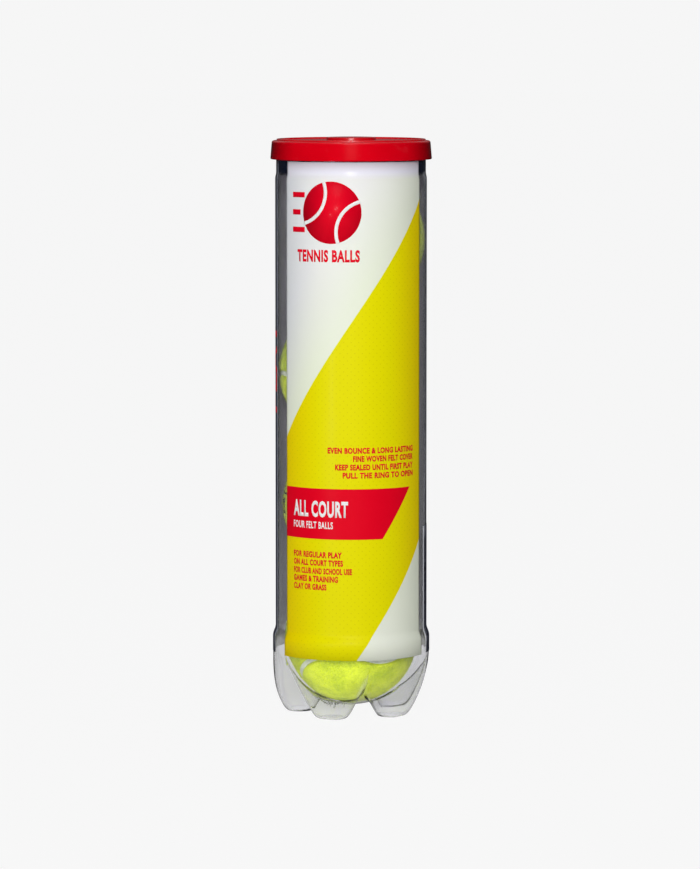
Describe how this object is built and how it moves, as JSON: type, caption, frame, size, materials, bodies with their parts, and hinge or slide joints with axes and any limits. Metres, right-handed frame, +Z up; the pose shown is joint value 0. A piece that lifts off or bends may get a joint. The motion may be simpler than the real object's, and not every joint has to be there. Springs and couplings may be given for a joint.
{
  "type": "tennis ball can",
  "caption": "Clear cylindrical sports ball can with petal-foot base, wrap labels, pull-off metal end, snap overcap and felt balls that lift out.",
  "frame": {"origin": "centre of the bounding box on the floor plane under the feet, on the can axis", "axes": "+Z up along the can, front of the can faces -Y, +X to its right seen from the front"},
  "size_m": [0.0798, 0.0798, 0.2863],
  "materials": {
    "clear_pet": "clear gloss blown bottle wall",
    "front_film": "printed satin film, white, yellow and red",
    "rear_film": "printed satin film",
    "end_metal": "bright rolled sheet",
    "tab_metal": "bright stamped sheet",
    "seam_compound": "soft sealing compound",
    "cap_plastic": "semi-gloss moulded red",
    "felt": "woven and brushed yellow felt",
    "seam_cement": "pale matte rubber cement",
    "core_rubber": "moulded rubber",
    "ball_ink": "dark printed ink"
  },
  "bodies": {
    "can": {"tube": "clear_pet", "front_label": "front_film", "rear_label": "rear_film", "seam_ring": "end_metal", "seam_gasket": "seam_compound"},
    "overcap": {"overcap": "cap_plastic"},
    "end_panel": {"end_panel": "end_metal", "tab_tongue": "tab_metal"},
    "pull_tab": {"pull_tab": "tab_metal"},
    "ball_1": {"ball_1_core_lower": "core_rubber", "ball_1_core_upper": "core_rubber", "ball_1_felt_a": "felt", "ball_1_felt_b": "felt", "ball_1_seam": "seam_cement", "ball_1_print": "ball_ink"},
    "ball_2": {"ball_2_core_lower": "core_rubber", "ball_2_core_upper": "core_rubber", "ball_2_felt_a": "felt", "ball_2_felt_b": "felt", "ball_2_seam": "seam_cement", "ball_2_print": "ball_ink"},
    "ball_3": {"ball_3_core_lower": "core_rubber", "ball_3_core_upper": "core_rubber", "ball_3_felt_a": "felt", "ball_3_felt_b": "felt", "ball_3_seam": "seam_cement", "ball_3_print": "ball_ink"},
    "ball_4": {"ball_4_core_lower": "core_rubber", "ball_4_core_upper": "core_rubber", "ball_4_felt_a": "felt", "ball_4_felt_b": "felt", "ball_4_seam": "seam_cement", "ball_4_print": "ball_ink"}
  },
  "joints": [
    {"name": "overcap_lift", "type": "slide", "parent": "can", "child": "overcap", "axis": [0, 0, 1], "range_m": [0, 0.35]},
    {"name": "end_panel_lift", "type": "slide", "parent": "can", "child": "end_panel", "axis": [0, 0, 1], "range_m": [0, 0.3155]},
    {"name": "pull_tab_hinge", "type": "hinge", "parent": "end_panel", "child": "pull_tab", "pos_m": [0, -0.02905, 0.27681], "axis": [1, 0, 0], "range_deg": [0, 80.5]},
    {"name": "ball_4_lift", "type": "slide", "parent": "can", "child": "ball_4", "axis": [-0.0871, 0, 0.9962], "range_m": [0, 0.3015]},
    {"name": "ball_3_lift", "type": "slide", "parent": "can", "child": "ball_3", "axis": [0.0267, 0, 0.9996], "range_m": [0, 0.2945]},
    {"name": "ball_2_lift", "type": "slide", "parent": "can", "child": "ball_2", "axis": [0.0059, 0, 1], "range_m": [0, 0.2875]},
    {"name": "ball_1_lift", "type": "slide", "parent": "can", "child": "ball_1", "axis": [0, 0, 1], "range_m": [0, 0.2805]}
  ],
  "couplings": [
    {"joint": "end_panel_lift", "follows": "overcap_lift", "ratio": 0.9},
    {"joint": "pull_tab_hinge", "follows": "overcap_lift", "rad_per_m": 4},
    {"joint": "ball_4_lift", "follows": "overcap_lift", "ratio": 0.86},
    {"joint": "ball_3_lift", "follows": "overcap_lift", "ratio": 0.84},
    {"joint": "ball_2_lift", "follows": "overcap_lift", "ratio": 0.82},
    {"joint": "ball_1_lift", "follows": "overcap_lift", "ratio": 0.8}
  ]
}
